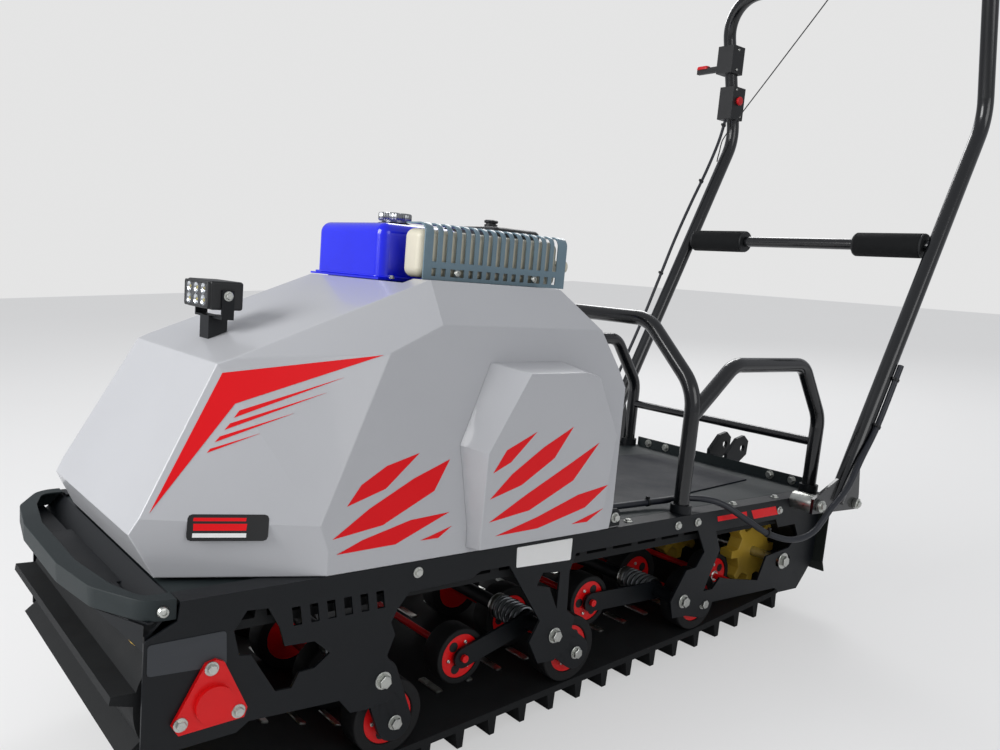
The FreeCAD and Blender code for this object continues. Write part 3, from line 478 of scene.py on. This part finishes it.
def beltStations(offset, spacing):
    # points and outward angles at even steps along arcs and tangent runs round the four wheels
    circles = np.array(beltLoop["circles"], float)
    following = np.roll(circles, -1, 0)
    dx, dz = (following - circles)[:, 0], (following - circles)[:, 1]
    lean = np.arcsin((circles[:, 2] - following[:, 2]) / np.hypot(dx, dz))
    normals = np.unwrap(np.arctan2(dz, dx) - math.pi / 2 + lean)
    incoming = np.roll(normals, 1)
    incoming[0] -= 2 * math.pi * round((incoming[0] - normals[0]) / (2 * math.pi) + 0.5)
    points, angles = [], []
    for (x, z, r), a, b in zip(circles, incoming, normals):
        arc = np.linspace(a, b, 60)
        points.append(np.stack([x + (r + offset) * np.cos(arc), z + (r + offset) * np.sin(arc)], -1))
        angles.append(arc)
    points.append(points[0][:1])
    angles.append(angles[0][:1] + 2 * math.pi)
    points, angles = np.concatenate(points), np.concatenate(angles)
    travelled = np.concatenate([[0], np.cumsum(np.linalg.norm(np.diff(points, axis=0), axis=1))])
    count = round(travelled[-1] / spacing)
    s = np.arange(count) * travelled[-1] / count
    stations = np.stack([np.interp(s, travelled, points[:, i]) for i in range(2)], -1)
    return stations, np.interp(s, travelled, angles)


places, angles = beltStations(beltLoop["offset"], beltLoop["pitch"])
clip = slab(roundedOutline(13, 30, 3, 2), -0.8, 2.6, 1.0)
inward = np.stack([-np.cos(angles), 0 * angles, -np.sin(angles)], -1)
clips = [repeated(clip, np.stack([places[:, 0], np.full(len(places), y), places[:, 1]], -1), inward, sideways)
         for y in (116, 140)]
addPiece("beltClips", mirroredToo(joined(*clips)), zinc)

# Tips of the front teeth: rounded blocks standing on the belt's outer face, since the belt has no windows
tooth = {"axle": (623, 187), "reach": 87, "rows": (-185, 0, 185), "degrees": (0, -45, 45)}
tipAngles = np.radians(tooth["degrees"])
tipOut = np.stack([np.cos(tipAngles), 0 * tipAngles, np.sin(tipAngles)], -1)
tip = slab(roundedOutline(20, 28, 6, 3), -6, 9, 4)
tips = [repeated(tip, np.array([tooth["axle"][0], y, tooth["axle"][1]]) + tooth["reach"] * tipOut, tipOut,
                 sideways)
        for y in tooth["rows"]]
addPiece("toothTips", joined(*tips), materials["goldenNylon"])
print("running gear done")

# Hood graphics and blank plates: thin sheets on planes given as (normal, point)
hoodSide = ((0, 1, 0.14), (0, 272, 340))
hoodSlant = ((0.372, 0.875, 0.308), (498, 270, 358))
panelFlat = (sideways, (0, 293, 0))
frameFlat = (sideways, (0, 270, 0))


plaqueSink = 0.4  # mm into the surface under it


def plaque(outline, plane, thick=0.35):
    # an outline of (x, z) laid on a plane: y solves n . p = n . q, then thickened along n
    n, q = np.array(plane[0], float), np.array(plane[1], float)
    n, outline = n / np.linalg.norm(n), np.array(outline, float)
    y = (n @ q - n[0] * outline[:, 0] - n[2] * outline[:, 1]) / n[1]
    flat = np.stack([outline[:, 0], y, outline[:, 1]], -1)
    return skin(np.stack([flat - plaqueSink * n, flat + thick * n]))


def slanted(outline, cut):  # the same outline with its corners cut
    outline = np.array(outline, float)
    before, after = np.roll(outline, 1, 0), np.roll(outline, -1, 0)
    toBefore = (before - outline) / np.linalg.norm(before - outline, axis=1, keepdims=True)
    toAfter = (after - outline) / np.linalg.norm(after - outline, axis=1, keepdims=True)
    corners = [outline + cut * toBefore, outline + cut * 0.3 * (toBefore + toAfter), outline + cut * toAfter]
    return np.stack(corners, 1).reshape(-1, 2)


swoosh = [[(579, 570), (385, 602), (568, 533), (673, 402)],
          [(564, 525), (437, 571), (571, 516)], [(576, 509), (460, 551), (583, 501)],
          [(589, 493), (501, 524), (595, 486)], [(601, 478), (543, 498), (605, 473)]]
hoodShards = [[(468, 368), (392, 378), (306, 416), (278, 458), (340, 436), (412, 402)],
              [(446, 408), (386, 426), (330, 470), (384, 456), (424, 434)],
              [(462, 348), (372, 350), (280, 384), (346, 380), (424, 362)],
              [(330, 350), (300, 350), (276, 364)]]
panelShards = [[(228, 370), (152, 380), (66, 418), (16, 474), (82, 442), (162, 404)],
               [(230, 404), (172, 420), (110, 456), (76, 502), (134, 474), (192, 438)],
               [(214, 348), (132, 350), (34, 372), (-14, 404), (52, 394), (134, 368)],
               [(228, 442), (196, 456), (150, 498), (206, 474)],
               [(60, 348), (26, 348), (-8, 366)]]
redSets = ((swoosh, hoodSlant), (hoodShards, hoodSide), (panelShards, panelFlat))
reds = joined(*[plaque(outline, plane) for outlines, plane in redSets for outline in outlines])
addPiece("hoodStripes", mirroredToo(reds), materials["redVinyl"])

label = np.array([(632, 401), (542, 401), (547, 370), (637, 370)])
redBands = [plaque(label[0] + np.array([(-6, -4), (-64, -4), (-63, -8), (-5, -8)]), hoodSlant, 0.6),
            plaque(label[0] + np.array([(-5, -11), (-64, -11), (-62, -19), (-4, -19)]), hoodSlant, 0.6)]
whiteBand = plaque(label[0] + np.array([(-3, -22), (-62, -22), (-61, -27), (-2, -27)]), hoodSlant, 0.6)
addPiece("hoodLabel", mirroredToo(plaque(slanted(label, 5), hoodSlant, 0.4)), materials["blackVinyl"])
addPiece("hoodLabelRed", mirroredToo(joined(*redBands)), materials["redVinyl"])
addPiece("hoodLabelWhite", mirroredToo(whiteBand), materials["whiteVinyl"])
dataPlate = slanted([(702, 274), (608, 274), (606, 230), (702, 236)], 4)
addPiece("framePlates", mirroredToo(plaque(dataPlate, frameFlat, 0.8)), materials["greyAnodised"])
whitePanel = slanted([(148, 315), (30, 315), (30, 279), (146, 283)], 2)
addPiece("whitePanels", mirroredToo(plaque(whitePanel, frameFlat, 0.4)), materials["whiteVinyl"])
rearBands = [[(-350, 308), (-442, 308), (-446, 298), (-354, 298)],
             [(-458, 308), (-540, 308), (-552, 290), (-470, 290)]]
rearStripes = joined(*[plaque(band, frameFlat) for band in rearBands])
addPiece("rearStripes", mirroredToo(rearStripes), materials["redVinyl"])
print("graphics done")

# Lamp: rim, reflector cups, chips and one lens
lens = {"face": 551, "width": 84, "height": 34, "columns": (-26, 0, 26), "rows": (-8.2, 8.2), "middle": 661}
outer = roundedOutline(lens["width"] + 4, lens["height"] + 3, 4)
inner = roundedOutline(lens["width"] - 2, lens["height"] - 3, 3)
rimRings = [(outer, -0.5), (outer, 3.5), (inner, 4.5), (inner, -0.5)]
rim = hoop(np.stack([np.column_stack([o[:, 0], o[:, 1], np.full(len(o), h)]) for o, h in rimRings]))
facing = {"axis": forward, "up": upward}
addPiece("lampRim", repeated(rim, [(lens["face"], 0, lens["middle"])], **facing), plastic)
cup = turned([(0.2, 8.0), (3.0, 8.0), (2.8, 7.4), (1.2, 5.4), (0.9, 3.2)], 20)
cells = [(lens["face"], y, lens["middle"] + z) for y in lens["columns"] for z in lens["rows"]]
addPiece("lampCups", repeated(cup, cells, **facing), materials["metallisedReflector"])
chip = turned([(0.5, 2.4), (1.6, 2.4), (2.1, 1.9)], 12)
addPiece("lampChips", repeated(chip, cells, **facing), materials["phosphorYellow"])
glass = slab(roundedOutline(lens["width"] - 2.6, lens["height"] - 3.6, 3), 3.2, 4.0)
addPiece("lampLens", repeated(glass, [(lens["face"], 0, lens["middle"])], **facing),
         materials["clearAcrylic"])
print("lamp done")

# Tank cap and engine details
capPlace = (190, -60, 787)
cap = turned([(8.6, 26.6), (10, 27.6), (19.4, 27.6), (21.2, 26.2)], 72, flutes=0.022)
addPiece("capFlutes", repeated(cap, [capPlace]), materials["chromePlate"])
neck = turned([(-3, 31), (2.5, 31), (4.5, 28), (5.5, 24), (5.5, 21)], 32)
addPiece("fillerNeck", repeated(neck, [capPlace]), plastic)
seam = np.array(roundedOutline(225, 216, 20, 6))
seamPath = np.column_stack([166.5 + seam[:, 0], -68 + seam[:, 1], np.full(len(seam), 702.6)])
addPiece("tankSeam", tube(seamPath, 1.8, 8, upward, closed=True), materials["blueTankEnamel"])
fold = slab(roundedOutline(4, 44, 1.9), -1, 2.2, 0.8)
fold = repeated(fold, [(-42, 80, 743)], rearward, upward, spins=math.pi / 2)
addPiece("mufflerFold", fold, materials["creamHeatPaint"])
knob = turned([(-1, 9), (2, 9), (3, 12), (6.5, 12.4), (8, 10)], 30, flutes=0.03)
addPiece("filterKnob", repeated(knob, [(-4, -40, 808)]), plastic)
print("engine done")

# Cables, their straps and the thin wire
leftPath = smoothPath([(-57, 190, 329.6), (-120, 197, 329.6), (-190, 204, 331), (-252, 212, 333),
                       (-300, 236, 340),
                       (-342, 272, 337), (-388, 303, 309), (-440, 322, 279), (-500, 338, 264),
                       (-555, 347, 275),
                       (-604, 350, 317), (-656, 351, 356), (-702, 346, 409), (-760.5, 341.5, 480),
                       (-819, 341.5, 600)], 12)
rightPath = smoothPath([(-1022, -321, 1180.6), (-1006, -323, 1120), (-975, -328, 1040), (-932, -333, 950),
                        (-888, -338, 850),
                        (-845, -342, 740), (-800, -345, 630), (-752, -346, 530), (-700, -348, 430),
                        (-650, -350, 358),
                        (-604, -350, 317), (-560, -347, 286), (-505, -332, 277), (-440, -308, 294),
                        (-385, -281, 322),
                        (-330, -245, 337), (-262, -219, 334), (-190, -206, 328.5), (-120, -197, 327.4),
                        (-56.7, -190, 327.4)][::-1], 12)


def sleeved(path, radius):  # a sleeve whose radius ripples along its length
    travelled = np.concatenate([[0], np.cumsum(np.linalg.norm(np.diff(path, axis=0), axis=1))])
    s = np.arange(0, travelled[-1], 2.0)
    fine = np.stack([np.interp(s, travelled, path[:, i]) for i in range(3)], -1)
    return tube(fine, radius * (0.96 + 0.04 * np.cos(s * math.pi)), 12)


leftCable = addPiece("leftCable", sleeved(leftPath, 6), materials["cableSleevePvc"], None, 60)
rightCable = addPiece("rightCable", sleeved(rightPath, 4), materials["cableSleevePvc"], None, 60)
cableSets = ((leftCable, 350, ("cable_left_lower", "cable_left_upper")),
             (rightCable, -350, ("cable_right_lower", "cable_right_upper")))
for cable, side, cadNodes in cableSets:
    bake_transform(cable)
    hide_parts(*cadNodes)


def strap(place, along, radius, width=5):  # a thin band round a cable with its locking block
    half, inside, outside = width / 2, radius + 0.2, radius + 1.5
    ring = turned([(-half, inside), (-half, outside), (half, outside), (half, inside)], 20)
    block = slab(roundedOutline(5, 6, 1.2, 2), -2.4, 2.4)
    block = (block[0] + np.array([radius + 3, 0, 0]), block[1])
    return repeated(joined(ring, block), [place], along, sideways)


def strapsAt(stations):
    return joined(*[strap(path[i], path[i + 1] - path[i - 1], radius) for path, i, radius in stations])


postStations = [(leftPath, -4, 6), (leftPath, -14, 6), (rightPath, -4, 4), (rightPath, 170, 4),
                (rightPath, 200, 4)]
addPiece("postStraps", strapsAt(postStations), plastic, "handlebar")
wirePath = smoothPath([(-1012, -325, 1070), (-1021, -326, 1112), (-1014, -300, 1150),
                       (-996, -165, 1292), (-976, -30, 1432), (-973, -12, 1459)], 10)
addPiece("tetherWire", tube(wirePath, 1.5, 8), plastic, "handlebar")
loomStations = [(leftPath, 30, 6), (leftPath, 84, 6), (rightPath, 30, 4)]
addPiece("loomStraps", strapsAt(loomStations), plastic)
print("cables done")

# Controls on the handlebar
redPlastic = materials["redMouldedPlastic"]
button = turned([(-2, 9), (3, 9), (3, 11), (7, 11), (8.4, 9.6), (8.8, 6)], 24)
addPiece("stopButton", repeated(button, [(-1038, -299, 1230)], sideways), redPlastic, "handlebar")
leverScrews = repeated(roundBolt(3.4, 2.4), [(-1012, -297, 1306), (-1012, -297, 1356)], sideways)
switchScrews = repeated(roundBolt(3.2, 2.2), [(-1052, -299, 1192), (-1026, -299, 1258)], sideways)
addPiece("controlScrews", joined(leverScrews, switchScrews), zinc, "handlebar")
leverPad = slab(roundedOutline(18, 34, 5), -1, 7, 2.5)
leverPad = repeated(leverPad, [(-1000, -396, 1317)], (0.1, 0, 1), sideways)
addPiece("leverPad", leverPad, redPlastic, "handlebar")
gripRing = turned([(-3, 13), (-3, 25), (0, 26.6), (3, 25), (3, 13)], 28)
gripRings = repeated(gripRing, [(-931, 149, 852), (-931, 298, 852)], sideways)
addPiece("gripEnds", mirroredToo(gripRings), plastic, "handlebar")
print("controls done")

# Floor, lights and camera
floorMesh = bpy.data.meshes.new("studioFloor")
floorReach, floorDrop = 9, 0.0005
floorCorners = [(x * floorReach, y * floorReach, -floorDrop) for x, y in ((-1, -1), (1, -1), (1, 1), (-1, 1))]
floorMesh.from_pydata(floorCorners, [], [(0, 1, 2, 3)])
floor = bpy.data.objects.new("studioFloor", floorMesh)
bpy.context.scene.collection.objects.link(floor)
vinyl = makeMaterial("paleStudioVinyl", "#DADADA", "#DEDEDE", 0.75, 0.03, 900, 2.0, 0.0, ior=1.45)
floorMesh.materials.append(vinyl)
floorTree = vinyl.node_tree
looked = addNode(floorTree, "ShaderNodeLightPath").outputs["Is Camera Ray"]
share = addNode(floorTree, "ShaderNodeMath", {0: looked, 1: 0.5}, operation="MULTIPLY").outputs[0]
glow = addNode(floorTree, "ShaderNodeEmission", {"Color": (0.93, 0.93, 0.93, 1), "Strength": 1.0}).outputs[0]
blend = addNode(floorTree, "ShaderNodeMixShader",
                {0: share, 1: floorTree.nodes["Principled BSDF"].outputs[0], 2: glow})
# lifts the floor as the camera sees it, and keeps its shadow
floorTree.links.new(blend.outputs[0], floorTree.nodes["Material Output"].inputs["Surface"])

world = bpy.data.worlds.new("studioWorld")
bpy.context.scene.world = world
world.use_nodes = True
tree = world.node_tree
background = tree.nodes["Background"]
seen = addNode(tree, "ShaderNodeLightPath").outputs["Is Camera Ray"]
white = addNode(tree, "ShaderNodeBackground", {"Color": (0.78, 0.78, 0.78, 1), "Strength": 1.0})
background.inputs["Color"].default_value = (0.93, 0.95, 1.0, 1)
background.inputs["Strength"].default_value = 0.46
mixed = addNode(tree, "ShaderNodeMixShader", {0: seen, 1: background.outputs[0], 2: white.outputs[0]})
tree.links.new(mixed.outputs[0], tree.nodes["World Output"].inputs["Surface"])


def standing(axes, place):  # a matrix whose columns are three axes and a place
    return Matrix([[*row, p] for row, p in zip(axes.tolist(), place)] + [[0, 0, 0, 1]])


def addLamp(name, place, aim, size, power):
    light = bpy.data.lights.new(name, "AREA")
    light.shape = "RECTANGLE"
    light.size, light.size_y = size
    light.energy = power
    lamp = bpy.data.objects.new(name, light)
    bpy.context.scene.collection.objects.link(lamp)
    back = np.array(place, float) - np.array(aim, float)
    back /= np.linalg.norm(back)
    across = np.cross([0, 0, 1], back)
    across /= np.linalg.norm(across)
    lamp.matrix_world = standing(np.stack([across, np.cross(back, across), back], 1), place)
    return lamp


addLamp("keyLamp", (3.6, -0.7, 2.2), (0.4, 0, 0.4), (2.4, 2.0), 125)
addLamp("fillLamp", (0.2, 4.2, 2.0), (0, 0, 0.4), (2.6, 2.0), 34)
addLamp("rimLamp", (-2.6, -2.2, 2.8), (0, 0, 0.5), (2.0, 1.6), 60)

yaw, pitch, roll = np.radians([-128.2083817, 8.6837013, 4.5050694])
ahead = np.array([math.cos(yaw) * math.cos(pitch), math.sin(yaw) * math.cos(pitch), -math.sin(pitch)])
right = np.array([math.sin(yaw), -math.cos(yaw), 0])
up = np.cross(right, ahead)
across, upright = math.cos(roll) * right + math.sin(roll) * up, math.cos(roll) * up - math.sin(roll) * right
axes = turn @ np.stack([across, upright, -ahead], 1)
place = toRow([1021.4618, 1209.2471, 718.1529])
cameraData = bpy.data.cameras.new("viewCamera")
cameraData.lens, cameraData.sensor_width = 31.53, 36
cameraData.shift_x, cameraData.shift_y = 0.0417, 0.0317
camera = bpy.data.objects.new("viewCamera", cameraData)
camera.matrix_world = standing(axes, place.tolist())
bpy.context.scene.collection.objects.link(camera)
bpy.context.scene.camera = camera
bpy.context.scene.view_settings.view_transform = "Standard"
print("stage done")
